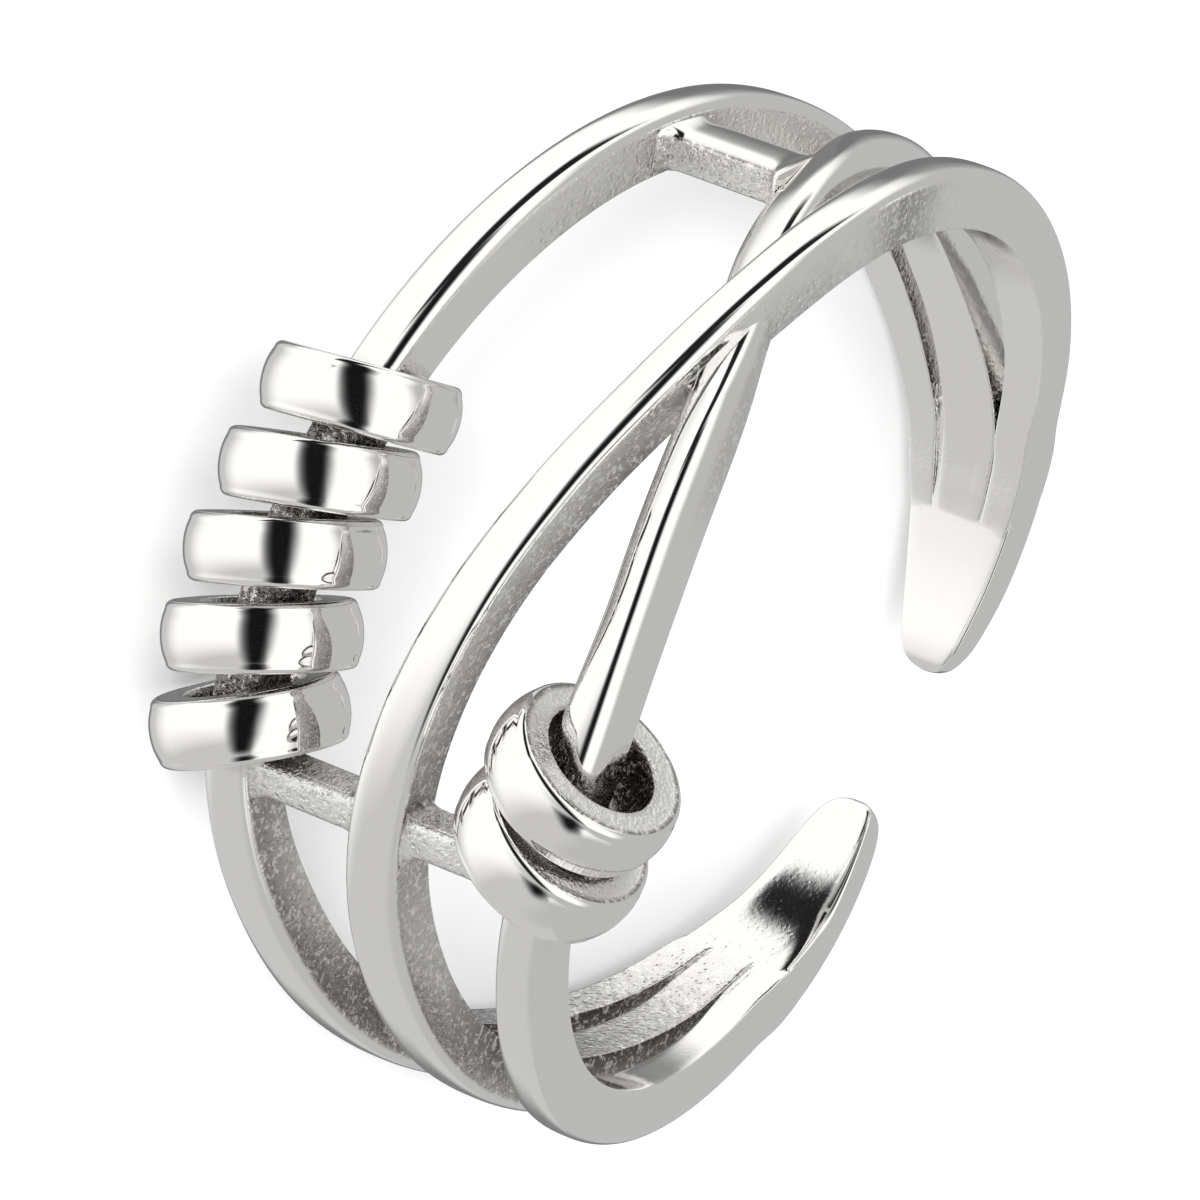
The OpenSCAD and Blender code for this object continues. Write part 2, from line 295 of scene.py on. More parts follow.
def new_tree(name, kind, sockets):
    """A node group with named inputs and outputs: rows of name, direction, type, value."""
    tree = bpy.data.node_groups.new(name, kind)
    for label, way, socket_type, default in sockets:
        socket = tree.interface.new_socket(label, in_out=way, socket_type=socket_type)
        if default is not None:
            socket.default_value = default
    wires = Wires(tree)
    return wires, wires.add("NodeGroupInput"), wires.add("NodeGroupOutput")


# %% [markdown]
# ## One tree for every bar of the casting
# A strand, a crossbar and a tip are all the same thing to a modeller: a section that
# changes as it moves along a path. A curve with a bevel keeps one section all the way,
# so the tree lays a flat grid over the path instead, one row for each station, and
# moves each point of the row to its place on that station's section. The outer half of
# a section is a dome whose two shoulders can differ, as hand polishing leaves them, and
# a tilt or a twist leans its outer or inner face towards one side.

# %% Geometry nodes: sections lofted along their stations
FLOAT, VECTOR = "NodeSocketFloat", "NodeSocketVector"
INT, SHAPE, MATERIAL = "NodeSocketInt", "NodeSocketGeometry", "NodeSocketMaterial"
SAME_POINT = 2e-7

wires, given, made = new_tree("loft_sections", "GeometryNodeTree", [
    ("Stations", "INPUT", SHAPE, None),
    ("Points Around", "INPUT", INT, 56),
    ("Inner Squareness", "INPUT", FLOAT, 0.35),
    ("Material", "INPUT", MATERIAL, None),
    ("Bar", "OUTPUT", SHAPE, None),
])
stations = given.outputs["Stations"]
around = given.outputs["Points Around"]
columns = wires.math("ADD", around, 1.0)
count = wires.add("GeometryNodeAttributeDomainSize", {"Geometry": stations})
grid = wires.add("GeometryNodeMeshGrid", {
    "Vertices X": count.outputs["Point Count"], "Vertices Y": columns})
index = wires.add("GeometryNodeInputIndex").outputs[0]
station = wires.math("FLOOR", wires.math("DIVIDE", wires.math("ADD", index, 0.5), columns))
place = wires.math("SUBTRACT", index, wires.math("MULTIPLY", station, columns))


def at_station(name, data_type):
    """What a station says under that name, for each point of its row."""
    read = wires.add("GeometryNodeInputNamedAttribute", {"Name": name}, data_type=data_type)
    node = wires.add(
        "GeometryNodeSampleIndex",
        {"Geometry": stations, "Value": read.outputs["Attribute"], "Index": station},
        data_type=data_type)
    return node.outputs["Value"]


angle = wires.math("MULTIPLY", wires.math("DIVIDE", wires.math("ADD", place, 0.5), around),
                   2 * math.pi)
across = wires.math("COSINE", angle)
upward = wires.math("SINE", angle)
outside = wires.math("GREATER_THAN", upward, 0.0)
inside = wires.math("SUBTRACT", 1.0, outside)
near = wires.math("GREATER_THAN", across, 0.0)
far = wires.math("SUBTRACT", 1.0, near)
crown = wires.math("MULTIPLY_ADD", near, at_station("near_power", "FLOAT"),
                   wires.math("MULTIPLY", far, at_station("far_power", "FLOAT")))
power = wires.math("MULTIPLY_ADD", outside, crown,
                   wires.math("MULTIPLY", inside, given.outputs["Inner Squareness"]))
sideways = wires.math("MULTIPLY", wires.math("SIGN", across),
                      wires.math("POWER", wires.math("ABSOLUTE", across), power))
swell = wires.math("POWER", wires.math("ABSOLUTE", upward), power)
dome = wires.math("MULTIPLY_ADD", near, at_station("near_dome", "FLOAT"),
                  wires.math("MULTIPLY", far, at_station("far_dome", "FLOAT")))
edge = at_station("edge", "FLOAT")
top = wires.math("MULTIPLY_ADD", dome, wires.math("SUBTRACT", swell, 1.0),
                 at_station("outer", "FLOAT"))
top = wires.math("MULTIPLY_ADD", at_station("tilt", "FLOAT"), sideways, top)
bottom = wires.math("MULTIPLY_ADD", edge, wires.math("SUBTRACT", 1.0, swell),
                    at_station("inner", "FLOAT"))
bottom = wires.math("MULTIPLY_ADD", at_station("twist", "FLOAT"),
                    wires.math("ADD", 1.0, sideways), bottom)
depth = wires.math("MULTIPLY_ADD", outside, top, wires.math("MULTIPLY", inside, bottom))
spot = wires.vector(
    "ADD",
    wires.vector("ADD", at_station("middle", "FLOAT_VECTOR"),
                 wires.vector("SCALE", at_station("side", "FLOAT_VECTOR"), scale=sideways)),
    wires.vector("SCALE", at_station("out", "FLOAT_VECTOR"), scale=depth))
bent = wires.add("GeometryNodeSetPosition", {
    "Geometry": grid.outputs["Mesh"], "Position": spot})
closed = wires.add("GeometryNodeMergeByDistance", {
    "Geometry": bent.outputs["Geometry"], "Distance": SAME_POINT})
real = wires.add("GeometryNodeRealizeInstances", {"Geometry": closed.outputs["Geometry"]})
coated = wires.add("GeometryNodeSetMaterial", {
    "Geometry": real.outputs["Geometry"], "Material": given.outputs["Material"]})
wires.feed(made.inputs["Bar"], coated.outputs["Geometry"])
LOFT = wires.tree
print(LOFT.name, len(LOFT.nodes), "nodes")

# %% [markdown]
# ## Running a tree once
# A tree works as a modifier, but what is kept is a plain mesh. So the modifier gets its
# inputs by their identifiers, the evaluated result is copied, and the start object with
# its modifier is thrown away. The volume shows whether the faces point outwards.

# %% Helpers: run a tree, copy its result, turn it right side out


def volume_of(mesh):
    """Signed volume of a closed mesh, in cubic mm."""
    mesh.calc_loop_triangles()
    tri = np.zeros(len(mesh.loop_triangles) * 3, np.int32)
    mesh.loop_triangles.foreach_get("vertices", tri)
    co = np.zeros(len(mesh.vertices) * 3)
    mesh.vertices.foreach_get("co", co)
    a, b, c = np.swapaxes((co.reshape(-1, 3) * 1000)[tri.reshape(-1, 3)], 0, 1)
    return float(np.einsum("ij,ij->i", a, np.cross(b, c)).sum() / 6)


def show(name, mesh):
    piece = bpy.data.objects.new(name, mesh)
    bpy.context.scene.collection.objects.link(piece)
    return piece


def evaluated_copy(piece, name):
    """A plain mesh of a piece with its modifiers run."""
    graph = bpy.context.evaluated_depsgraph_get()
    mesh = bpy.data.meshes.new_from_object(piece.evaluated_get(graph))
    mesh.name = name
    return mesh


def grow(name, points, numbers, tree, inputs):
    """Runs a tree on bare points that carry named numbers, and returns a plain mesh."""
    seed = bpy.data.meshes.new(name + "_points")
    seed.from_pydata([tuple(p) for p in points], [], [])
    for label, values in numbers.items():
        values = np.asarray(values, np.float32)
        kind = "FLOAT_VECTOR" if values.ndim == 2 else "FLOAT"
        layer = seed.attributes.new(label, kind, "POINT")
        layer.data.foreach_set("vector" if values.ndim == 2 else "value", values.ravel())
    start = show(name + "_start", seed)
    modifier = start.modifiers.new("nodes", "NODES")
    modifier.node_group = tree
    for item in tree.interface.items_tree:
        if item.item_type == "SOCKET" and item.in_out == "INPUT" and item.name in inputs:
            modifier[item.identifier] = inputs[item.name]
    mesh = evaluated_copy(start, name)
    bpy.data.objects.remove(start)
    bpy.data.meshes.remove(seed)
    if volume_of(mesh) < 0:
        mesh.flip_normals()
    print(name, len(mesh.polygons), "faces,", round(volume_of(mesh), 2), "cubic mm")
    return mesh


# %% [markdown]
# ## Stations along the strands, tips and crossbars
# Each station says where its section stands, which way is out, which way is sideways
# and how far the section reaches. The first and last stations have no size at all, so
# that the loft is closed. A tip's stations crowd together near its end, which gives it
# the rounded, fingernail-like outline. Where the high strand is free, its near shoulder
# is rolled over, and the first tip's inner face leans a little towards the front. The
# strands' inner faces sink into the tips before they end, so that nothing shows of it.

# %% One station, and a bar from a row of them


def station_row(angle, low, high, inner, outer, far, near, edge=0.05, tilt=0.0, twist=0.0):
    """One section across the band. far and near are the depth and the power of each
    shoulder of its outer face, where a power of 1 is round and less is squarer. tilt
    raises the near side of the outer face, and twist that of the inner face."""
    return dict(
        middle=laid(on_ring(angle, 0, (low + high) / 2)),
        side=turned([0, 0, (high - low) / 2]) / 1000,
        out=turned(on_ring(angle, 1, 0)), inner=inner / 1000, outer=outer / 1000,
        far_dome=far[0] / 1000, far_power=far[1],
        near_dome=near[0] / 1000, near_power=near[1],
        edge=edge / 1000, tilt=tilt / 1000, twist=twist / 1000)


def loft(name, rows, around=56):
    """Closes a row of stations at both ends and lofts the bar."""
    ends = []
    for row in (rows[0], rows[-1]):
        centre = (row["inner"] + row["outer"]) / 2
        ends.append(dict(row, side=row["side"] * 0, inner=centre, outer=centre,
                         far_dome=0, near_dome=0, edge=0, tilt=0, twist=0))
    rows = [ends[0], *rows, ends[1]]
    numbers = {key: np.array([row[key] for row in rows]) for key in rows[0]}
    return grow(name, numbers["middle"], numbers, LOFT, {"Points Around": around})


# %% Stations of the strands
# How round the top of a strand can get, the stretch where the high strand is free, how
# deep an inner face sinks into each tip, from which angle and over how many degrees, and
# the depth of each strand's near shoulder
FLAT_DOME, ROUND_DOME = 0.20, 0.65
FREE_STRETCH = (-14, 62, 9)
FIRST_SINK, LAST_SINK = (0.3, 142), (0.09, 146)
SINK_RUN = 8
LOW_SHOULDER, MIDDLE_SHOULDER, HIGH_SHOULDER = 0.32, 0.26, 0.28


def window(v, low, high, soft):
    """Nearly 1 between low and high, and smoothly 0 outside them."""
    a = np.clip((v - low) / (2 * soft) + 0.5, 0, 1)
    b = np.clip((high - v) / (2 * soft) + 0.5, 0, 1)
    return a * a * (3 - 2 * a) * b * b * (3 - 2 * b)


def strand_rows(table, shoulder, spacing=1.4):
    """Sections of a strand. Its near shoulder is rounder than its far one."""
    first, last = table[0][0], table[-1][0]
    rows = []
    for angle in np.linspace(first, last, int((last - first) / spacing)):
        middle, width = value(table, angle, HEIGHT), value(table, angle, WIDTH)
        dome = value(table, angle, DOME)
        rounded = float(np.clip((dome - FLAT_DOME) / (ROUND_DOME - FLAT_DOME), 0, 1))
        far = (0.2 + 0.14 * rounded, 0.62 + 0.13 * rounded)
        free = window(angle, *FREE_STRETCH) * rounded
        near = (max(shoulder, dome * 0.95) + 0.3 * free, 0.7 + 0.3 * rounded)
        most, start = FIRST_SINK if angle < 0 else LAST_SINK
        lift = most * min(1, max(0, (abs(angle) - start) / SINK_RUN))
        rows.append(station_row(
            angle, middle - width / 2, middle + width / 2, INNER + lift,
            OUTER - value(table, angle, SINK), far, near,
            edge=0.05 + 0.2 * free, tilt=0.27 * free))
    return rows


print("low strand", len(strand_rows(LOW, LOW_SHOULDER)), "stations")

# %% Stations of the tips
TWISTED_STRETCH = (148, 160, 8)


def tip_rows(table, count=72):
    """Sections of a tip, which crowd together towards its end."""
    first, last = table[0][0], table[-1][0]
    rows = []
    for s in np.linspace(0, 1, count):
        angle = first + (last - first) * (1 - (1 - s) ** 2)
        low, high, rise, fall = (value(table, angle, c) for c in (LOWER, UPPER, RISE, FALL))
        thick = OUTER - INNER - rise - fall
        shoulder = (min(0.22, thick * 0.5), 0.66)
        twisted = window(-angle, *TWISTED_STRETCH)
        rows.append(station_row(
            angle, low, high, INNER + rise, OUTER - fall, shoulder, shoulder,
            edge=min(0.1, thick * 0.3) + 0.07 * twisted, twist=0.13 * twisted))
    return rows


print("first tip", len(tip_rows(FIRST_TIP)), "stations")

# %% Stations of the crossbars
# A crossbar's section is its width, and the radius of its inner and outer face
LOW_BAR, TOP_BAR = -39.8, 58.8
LOW_BAR_SECTION = (0.80, INNER + 0.12, OUTER - 0.28)
TOP_BAR_SECTION = (1.15, INNER + 0.09, OUTER - 0.30)


def strand_heights(angle):
    return [value(table, angle, HEIGHT) for table in (LOW, MIDDLE, HIGH)]


def crossbar_rows(angle, low, high, width, inner, outer, fillet=0.36, buried=0.12):
    """A bar that stands along the finger, with a fillet where it meets a strand. Its
    ends are buried in the strands."""
    out = on_ring(angle, 1, 0)
    along = np.array([-out[1], out[0], 0])
    rows = []
    for z in np.linspace(low - buried, high + buried, 40):
        near = min(1, max(0, min(z - low, high - z) / fillet))
        flare = 1 - math.sqrt(1 - (1 - near) ** 2)
        rows.append(dict(
            middle=laid(on_ring(angle, 0, z)),
            side=turned(along * (width / 2 + 0.3 * flare)) / 1000,
            out=turned(out), inner=(inner - 0.05 * flare) / 1000,
            outer=(outer + 0.07 * flare) / 1000, edge=0.16 / 1000, tilt=0, twist=0,
            far_dome=0.22 / 1000, far_power=0.62,
            near_dome=0.22 / 1000, near_power=0.62))
    return rows


low_z, middle_z, high_z = strand_heights(LOW_BAR)
top_bar_low_z, _, top_bar_high_z = strand_heights(TOP_BAR)
crossbars = {
    "lower_crossbar": (LOW_BAR - 0.5, low_z + 0.50, middle_z - 0.55, *LOW_BAR_SECTION),
    "near_crossbar": (LOW_BAR - 0.5, middle_z + 0.55, high_z - 0.47, *LOW_BAR_SECTION),
    "top_crossbar": (TOP_BAR, top_bar_low_z + 0.48, top_bar_high_z - 0.55, *TOP_BAR_SECTION),
}
for name, (_, low, high, *_) in crossbars.items():
    print(name, round(high - low, 2), "mm between its fillets' ends")

# %% All the bars
bars = [
    loft("low_strand", strand_rows(LOW, LOW_SHOULDER)),
    loft("middle_strand", strand_rows(MIDDLE, MIDDLE_SHOULDER)),
    loft("high_strand", strand_rows(HIGH, HIGH_SHOULDER)),
    loft("first_tip", tip_rows(FIRST_TIP)),
    loft("last_tip", tip_rows(LAST_TIP)),
]
bars += [loft(name, crossbar_rows(*row), around=32) for name, row in crossbars.items()]

# %% [markdown]
# ## One casting
# The real band leaves the mould as one piece of metal, so its bars are joined into one
# skin with nothing left inside. A Boolean union does that, and its manifold solver is
# made for clean closed bars like these. Edges where two bars meet stay crisp, and the
# rest is shaded smooth.

# %% Union of the bars


def joined(name, meshes):
    base = show(name + "_base", meshes[0])
    others = [show("part_%d" % i, mesh) for i, mesh in enumerate(meshes[1:])]
    for other in others:
        union = base.modifiers.new("join", "BOOLEAN")
        union.operation = "UNION"
        union.solver = "MANIFOLD"
        union.object = other
    mesh = evaluated_copy(base, name)
    for other in [base, *others]:
        bpy.data.objects.remove(other)
    return mesh


def smooth(mesh, degrees):
    """Shades a mesh smooth, apart from edges sharper than that."""
    mesh.polygons.foreach_set("use_smooth", [True] * len(mesh.polygons))
    mesh.set_sharp_from_angle(angle=math.radians(degrees))
    mesh.update()


band_mesh = joined("band_mesh", bars)
smooth(band_mesh, 38)
print("band", len(band_mesh.polygons), "faces,", round(volume_of(band_mesh), 1), "cubic mm")

# %% [markdown]
# ## Beads from one turned profile
# A bead is turned on a lathe: a slightly bulging wall, soft shining rims, flat end
# faces and a drilled hole. A second tree spins a profile round its axis. The profile's
# own number says how far each place was polished, from 0 on the wall to 1 in the hole,
# where the polishing wheel never reached. The rims' edges next to the end faces get a
# high number as well, and it paints a thin dark outline there, a painted reflection.

# %% Geometry nodes: a profile turned round an axis
wires, given, made = new_tree("turned_bead", "GeometryNodeTree", [
    ("Profile", "INPUT", SHAPE, None),
    ("Points Around", "INPUT", INT, 128),
    ("Place", "INPUT", VECTOR, None),
    ("Lean", "INPUT", VECTOR, None),
    ("Material", "INPUT", MATERIAL, None),
    ("Bead", "OUTPUT", SHAPE, None),
])
profile = given.outputs["Profile"]
around = given.outputs["Points Around"]
columns = wires.math("ADD", around, 1.0)
count = wires.add("GeometryNodeAttributeDomainSize", {"Geometry": profile})
length = count.outputs["Point Count"]
grid = wires.add("GeometryNodeMeshGrid", {
    "Vertices X": wires.math("ADD", length, 1.0), "Vertices Y": columns})
index = wires.add("GeometryNodeInputIndex").outputs[0]
row = wires.math("FLOOR", wires.math("DIVIDE", wires.math("ADD", index, 0.5), columns))
place = wires.math("SUBTRACT", index, wires.math("MULTIPLY", row, columns))
wrapped = wires.math("MODULO", row, length)
angle = wires.math("MULTIPLY", wires.math("DIVIDE", place, around), 2 * math.pi)
here = wires.add("GeometryNodeInputPosition").outputs[0]
point = wires.add("GeometryNodeSampleIndex", {
    "Geometry": profile, "Value": here, "Index": wrapped}, data_type="FLOAT_VECTOR")
split = wires.add("ShaderNodeSeparateXYZ", {0: point.outputs["Value"]})
circle = wires.add("ShaderNodeCombineXYZ", {
    "X": wires.math("MULTIPLY", split.outputs["X"], wires.math("COSINE", angle)),
    "Y": wires.math("MULTIPLY", split.outputs["X"], wires.math("SINE", angle)),
    "Z": split.outputs["Y"]})
spun = wires.add("GeometryNodeSetPosition", {
    "Geometry": grid.outputs["Mesh"], "Position": circle.outputs[0]})
polish = wires.add("GeometryNodeInputNamedAttribute", {"Name": "cast"}, data_type="FLOAT")
polish_here = wires.add("GeometryNodeSampleIndex", {
    "Geometry": profile, "Value": polish.outputs["Attribute"], "Index": wrapped})
marked = wires.add("GeometryNodeStoreNamedAttribute", {
    "Geometry": spun.outputs["Geometry"], "Name": "cast",
    "Value": polish_here.outputs["Value"]}, data_type="FLOAT", domain="POINT")
closed = wires.add("GeometryNodeMergeByDistance", {
    "Geometry": marked.outputs["Geometry"], "Distance": SAME_POINT})
moved = wires.add("GeometryNodeTransform", {
    "Geometry": closed.outputs["Geometry"], "Translation": given.outputs["Place"],
    "Rotation": given.outputs["Lean"]})
real = wires.add("GeometryNodeRealizeInstances", {"Geometry": moved.outputs["Geometry"]})
coated = wires.add("GeometryNodeSetMaterial", {
    "Geometry": real.outputs["Geometry"], "Material": given.outputs["Material"]})
wires.feed(made.inputs["Bead"], coated.outputs["Geometry"])
TURNED = wires.tree
print(TURNED.name, len(TURNED.nodes), "nodes")

# %% The bead's profile
BEAD_R, BEAD_HALF, HOLE, BULGE, CORNER, LIP = 1.89, 0.65, 1.15, 0.10, 0.15, 0.07


def arc(centre, radius, start, end, steps):
    """Points of an arc, from one angle to another, in degrees."""
    turns = np.radians(np.linspace(start, end, steps))
    return [(centre[0] + radius * math.cos(t), centre[1] + radius * math.sin(t))
            for t in turns]


def bead_profile():
    """Rows of distance from the axis, height, and how rough it was left. On the rims' edges
    this number also paints a thin dark outline, a painted reflection.
    """
    rim = BEAD_R - BULGE
    outer = arc((rim - CORNER, -BEAD_HALF + CORNER), CORNER, -90, 0, 9)
    rise = np.linspace(-1, 1, 17)[1:-1]
    wall = [(rim + BULGE * (1 - abs(s) ** 2.2), s * (BEAD_HALF - CORNER)) for s in rise]
    upper = [(x, -y) for x, y in reversed(outer)]
    mouth = arc((HOLE + LIP, BEAD_HALF - LIP), LIP, 90, 180, 6)
    hole = [(HOLE, z) for z in np.linspace(BEAD_HALF - LIP, -BEAD_HALF + LIP, 12)[1:-1]]
    bottom = [(x, -y) for x, y in reversed(mouth)]
    face = np.linspace(rim - CORNER, HOLE + LIP, 6)[1:-1]
    top_face = [(r, BEAD_HALF) for r in face]
    low_face = [(r, -BEAD_HALF) for r in reversed(face)]
    # The two points of each rim next to an end face get 0.75: rougher, and on the beads a painted
    # dark outline, a painted reflection
    parts = [(outer[:2], 0.75), (outer[2:], 0.0), (wall, 0.0), (upper[:-2], 0.0),
             (upper[-2:], 0.75), (top_face, 0.4), (mouth, 0.55), (hole, 1.0),
             (bottom, 0.55), (low_face, 0.4)]
    return [(x, y, rough) for points, rough in parts for x, y in points]


profile_rows = np.array(bead_profile())
print("bead profile", len(profile_rows), "points")

# %% [markdown]
# ## Where the beads sit
# Five beads ride on the low strand and two on the high one. Each strand is close to a
# tilted circle there, so a bead's row says how far round that circle it is, how far it
# hangs off it, and how it leans on the strand. Loose beads never line up exactly, and
# that small disorder is what makes them look loose.

# %% The seven beads in place
BEAD_SIDES = 128
LOW_TRACK = ((0, 0, -2.73), -10, 6.56, (INNER + OUTER) / 2)
HIGH_TRACK = ((0.264, -1.834, 0.233), 98.1, 27.75, (INNER + OUTER) / 2 - 0.88)
BEADS = {
    "low_bead_1": (LOW_TRACK, 315.0, -0.07, 0.05, 27.7, -6.9),
    "low_bead_2": (LOW_TRACK, 304.2, 0.01, -0.02, 22.8, -4.5),
    "low_bead_3": (LOW_TRACK, 294.0, 0.06, -0.09, 20.5, 2.6),
    "low_bead_4": (LOW_TRACK, 284.5, 0.04, -0.09, 16.1, 8.8),
    "low_bead_5": (LOW_TRACK, 274.9, 0.04, -0.11, 11.1, 13.5),
    "high_bead_1": (HIGH_TRACK, 209.95, -0.02, -0.08, -22.4, 5.9),
    "high_bead_2": (HIGH_TRACK, 200.0, -0.07, 0.09, -20.7, 14.3),
}


def spin(x, y, z):
    """A rotation about X, then Y, then Z, in degrees."""
    return Euler([math.radians(v) for v in (x, y, z)], "XYZ").to_matrix().to_4x4()


def bead_place(track, turn, away, along, lean, tilt):
    """A bead's place on the table: its track, its turn, its shift and its lean."""
    centre, yaw, roll, radius = track
    in_ring = (
        Matrix.Translation(centre) @ spin(0, roll, yaw) @ spin(0, 0, turn)
        @ Matrix.Translation((radius + away, 0, along))
        @ spin(lean, 0, tilt) @ spin(90, 0, 0))
    rest = Matrix.Translation(SHIFT) @ Matrix(TURN.tolist()).to_4x4()
    return rest @ in_ring


bead_meshes = {}
for name, row in BEADS.items():
    place = bead_place(*row)
    points = [(r / 1000, h / 1000, 0) for r, h, _ in profile_rows]
    mesh = grow(name + "_mesh", points, {"cast": profile_rows[:, 2]}, TURNED, {
        "Points Around": BEAD_SIDES, "Place": tuple(place.translation / 1000),
        "Lean": tuple(place.to_euler())})
    smooth(mesh, 50)
    bead_meshes[name] = mesh

# %% [markdown]
# ## Where the casting was left rough
# The outer faces were polished on a wheel, which can't reach between the strands. So
# the sides and the inner faces keep the grain of the mould, with small dark pits, and
# most of all low down between the strands. The same dark residue is left in a seam just
# below the polished faces. The residue's colour also paints shade on the strand under the
# beads, and a dark reflection along the top crossbar's edges. Two numbers on each point
# say how rough and how dark the metal is there, from its place and the way it faces.

# %% Reading each point's place on the band


def step(v, low, high):
    """Smoothly from 0 at low to 1 at high."""
    s = np.clip((v - low) / (high - low), 0, 1)
    return s * s * (3 - 2 * s)


def bump_at(v, centre, spread):
    """1 at the centre, and smoothly down to 0 on both sides of it."""
    return np.exp(-((v - centre) / spread) ** 2)


def on_strand(table, angle, z, half):
    """1 up to half a width from the middle of a strand, and 0 beyond its side."""
    samples = np.linspace(table[0][0], table[-1][0], 400)
    middle = np.interp(angle, samples, [value(table, a, HEIGHT) for a in samples])
    return 1 - step(np.abs(z - middle), half, 0.75)


def read_band(mesh):
    """Each point's angle, radius and height, and how far it faces out and up."""
    co = np.zeros(len(mesh.vertices) * 3, np.float32)
    mesh.vertices.foreach_get("co", co)
    ring = unlaid(co.reshape(-1, 3))
    normals = np.zeros(len(mesh.vertices) * 3, np.float32)
    mesh.vertices.foreach_get("normal", normals)
    facing = normals.reshape(-1, 3) @ TURN
    angle = np.degrees(np.arctan2(-ring[:, 0], -ring[:, 1]))
    radius = np.hypot(ring[:, 0], ring[:, 1])
    outward = (facing[:, 0] * ring[:, 0] + facing[:, 1] * ring[:, 1]) / radius
    return angle, radius, ring[:, 2], outward, facing[:, 2]


# %% Marks on the band: cast, soot, painted shade and a painted reflection
# A stretch gives the angles where it starts and ends, and how soft its ends are
BETWEEN_STRANDS = (-132, -40, 16)
BESIDE_TOP_BAR = (34, 66, 8)
AT_CROSSING = (8, 46, 6)
AT_ELBOW = (-34, 14, 6)
SEAM_STRETCH = (-128, -24, 8)
UNDER_LOW_BEADS = (-38, 7, 2)
UNDER_HIGH_BEADS = (-40, -27, 2)
SEAM_RADIUS, SEAM_WIDTH = 9.74, 0.045


def mark_band(mesh):
    """Writes on each point how rough and how dark it is, from 0 to 1: dark from soot,
    from painted shade under the beads and from a painted reflection on the top crossbar.
    """
    angle, radius, z, outward, up = read_band(mesh)
    on_low = on_strand(LOW, angle, z, 0.55)
    on_middle = on_strand(MIDDLE, angle, z, 0.6)
    on_high = on_strand(HIGH, angle, z, 0.6)
    plain = on_high * (1 - on_low) * (1 - on_middle)
    lower_two = np.clip(on_low + on_middle, 0, 1)
    low_bar, top_bar = bump_at(angle, LOW_BAR, 8), bump_at(angle, TOP_BAR, 6)
    bars = (low_bar + top_bar) * (1 - 0.5 * plain)
    deep = 1 - step(radius, 9.35, 9.72)
    tips = step(np.abs(angle), 140, 152)
    inward = step(-outward, 0.5, 0.85)

    # Only what the polishing wheel can't reach is marked, and the tips hardly at all
    hidden = 1 - step(outward, 0.05, 0.35)
    hidden = np.maximum(hidden, 0.5 * low_bar * (1 - step(radius, 9.70, 9.84)))
    calm = (1 - 0.8 * tips) * (1 - 0.8 * plain * (1 - bars)) * (1 - 0.65 * inward)
    clean = (1 - tips) * (1 - 0.7 * inward)

    # Broad places add up: where they are, how rough they are and how much soot they hold
    between = window(angle, *BETWEEN_STRANDS) * (0.12 + 0.88 * deep) * (1 - plain)
    between = between * lower_two * (0.22 + 0.78 * step(-angle, 60, 104))
    cast, soot_and_shade = 0.14, 0.0
    for place, rough, darkening in (
            (between, 0.9, 1.4),
            (window(angle, *BESIDE_TOP_BAR) * on_low * (0.25 + 0.5 * deep), 0.45, 0.3),
            (window(angle, *AT_CROSSING) * np.clip(on_middle + on_high, 0, 1) * deep, 0.4, 0.25),
            (window(angle, *AT_ELBOW) * on_middle * (1 - plain) * (0.35 + 0.65 * deep), 0.5, 0.6),
            (bars, 0.8, 0.12),
            (bars * lower_two, 0.0, 0.4)):
        cast, soot_and_shade = cast + rough * place, soot_and_shade + darkening * place
    cast = hidden * calm * np.clip(cast, 0, 1)
    soot_and_shade = hidden * clean * np.clip(soot_and_shade, 0, 1)

    # Narrow places lie over them: painted shade on the strand under the beads, a painted
    #     # dark reflection along the top crossbar's edges, and a seam
    painted_shade_under_beads = window(angle, *UNDER_LOW_BEADS) * on_low
    painted_shade_under_beads = painted_shade_under_beads + window(angle, *UNDER_HIGH_BEADS) * on_high
    # A painted dark reflection: the residue colour along the top crossbar's rounded edges
    painted_reflection_on_top_bar = top_bar * (1 - on_low) * (1 - on_middle) * (1 - on_high)
    painted_reflection_on_top_bar = painted_reflection_on_top_bar * bump_at(outward, 0.45, 0.22)
    seam = step(up, 0.25, 0.7) * bump_at(radius, SEAM_RADIUS, SEAM_WIDTH) * (1 - plain)
    seam = seam * lower_two * window(angle, *SEAM_STRETCH)
    for place, rough, darkening in ((painted_shade_under_beads, 0.5, 0.8), (painted_reflection_on_top_bar, 0.15, 1.0), (seam, 0.4, 0.75)):
        cast, soot_and_shade = np.maximum(cast, rough * place), np.maximum(soot_and_shade, darkening * place)

    for label, values in (("cast", cast), ("soot_and_shade", soot_and_shade)):
        layer = mesh.attributes.new(label, "FLOAT", "POINT")
        layer.data.foreach_set("value", values.astype(np.float32))
        print("share of the points with much", label, round(float((values > 0.5).mean()), 2))


mark_band(band_mesh)

# %% [markdown]
# ## Two finishes as shader groups
# Both metals need the same two effects, so each is a group built once. Cast grain
# gives a height, a mask of pits and a mask of stains, from two noises and a cell
# pattern. Worn polish gives slow waves, which bend a mirror's reflections, and a haze
# of handling. A group puts out only heights and masks, and the shader stays in the
# material.

